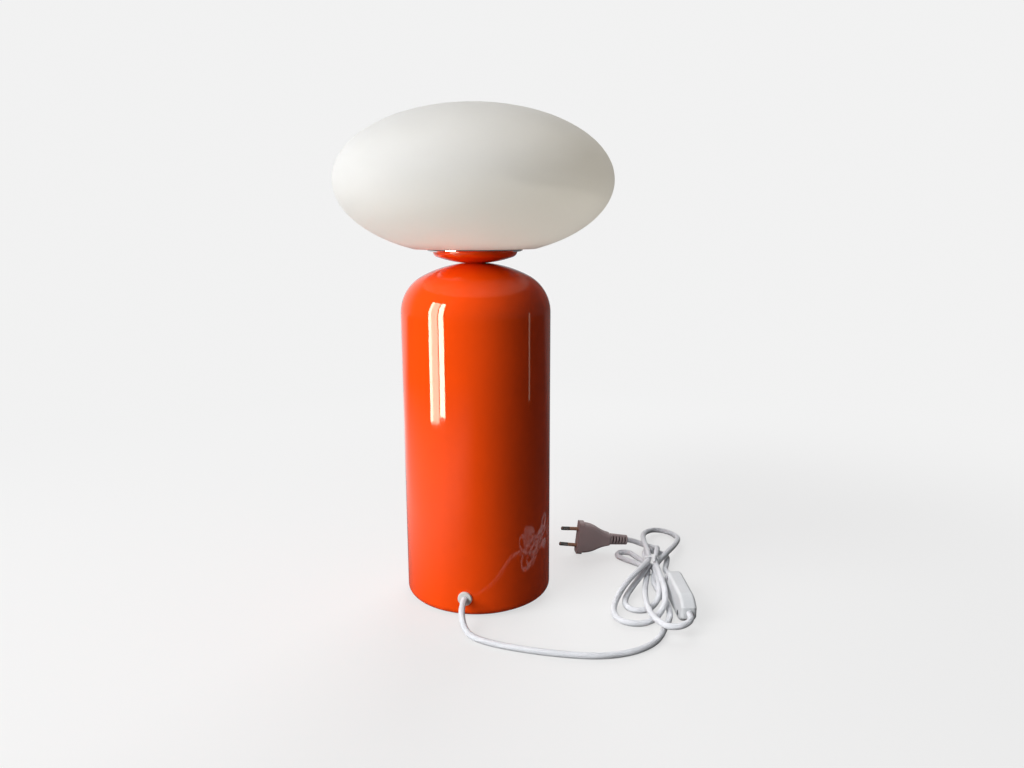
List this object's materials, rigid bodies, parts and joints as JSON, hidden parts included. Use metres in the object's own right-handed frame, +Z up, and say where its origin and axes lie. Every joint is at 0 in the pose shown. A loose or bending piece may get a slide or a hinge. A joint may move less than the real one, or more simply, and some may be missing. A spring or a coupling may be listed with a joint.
{
  "type": "table lamp",
  "caption": "Table lamp with a flattened opal glass shade on a tall glossy cylinder, its textile cord tied in a hank with an inline rocker switch and a flat plug.",
  "frame": {"origin": "on the floor under the axis of the lamp", "axes": "+Z up along the lamp's axis, -Y towards the side where the cord leaves the body"},
  "size_m": [0.353, 0.2728, 0.4536],
  "materials": {
    "lacquer": "glossy orange lacquer",
    "opal_glass": "satin opal white",
    "chrome": "polished",
    "steel": "zinc plated",
    "cast_iron": "rough",
    "pad": "matt foam",
    "bushing": "matt",
    "gasket": "matt silicone",
    "brass": "plain",
    "holder_plastic": "moulded",
    "bulb_plastic": "moulded",
    "bulb_opal": "frosted",
    "cap_nickel": "rolled thread",
    "cord_textile": "white braid",
    "tie": "smooth",
    "switch_plastic": "moulded",
    "plug_plastic": "moulded",
    "pin_nickel": "nickel plated"
  },
  "bodies": {
    "lamp": {"foot_pad": "pad", "base_plate": "steel", "ballast_weight": "cast_iron", "base_screws": "steel", "body_shell": "lacquer", "cord_bushing": "bushing", "neck_dish": "lacquer", "gallery": "chrome", "shade_gasket": "gasket", "stem_washer": "steel", "stem_tube": "steel", "stem_nut": "steel", "holder_cap": "holder_plastic", "holder_core": "holder_plastic", "holder_skirt": "holder_plastic", "holder_thread": "brass", "centre_contact": "brass", "cord_lead": "cord_textile", "hank_feed": "cord_textile", "hank_loops": "cord_textile", "cord_tail": "cord_textile", "hank_tie": "tie", "switch_base": "switch_plastic", "switch_cover": "switch_plastic", "switch_pin": "steel", "switch_contacts": "brass", "switch_screws": "steel", "plug_body": "plug_plastic", "plug_relief": "plug_plastic", "plug_pins": "pin_nickel", "pin_sleeves": "plug_plastic"},
    "shade": {"glass_shade": "opal_glass"},
    "bulb_tip": {"bulb_contact": "brass"},
    "bulb": {"bulb_cap": "cap_nickel", "bulb_neck": "bulb_plastic", "bulb_globe": "bulb_opal"},
    "rocker": {"switch_rocker": "switch_plastic"}
  },
  "joints": [
    {"name": "shade_lift", "type": "slide", "parent": "lamp", "child": "shade", "axis": [0, 0, 1], "range_m": [0, 0.12]},
    {"name": "bulb_rise", "type": "slide", "parent": "lamp", "child": "bulb_tip", "axis": [0, 0, 1], "range_m": [0, 0.0181]},
    {"name": "bulb_turn", "type": "hinge", "parent": "bulb_tip", "child": "bulb", "pos_m": [0, 0, 0.374], "axis": [0, 0, 1], "range_deg": [0, 1800]},
    {"name": "rocker_tilt", "type": "hinge", "parent": "lamp", "child": "rocker", "pos_m": [0.18968, -0.05702, 0.0125], "axis": [0, 0, 1], "range_deg": [0, 16]}
  ],
  "couplings": [
    {"joint": "bulb_rise", "follows": "bulb_turn", "m_per_rad": 0.000576}
  ]
}
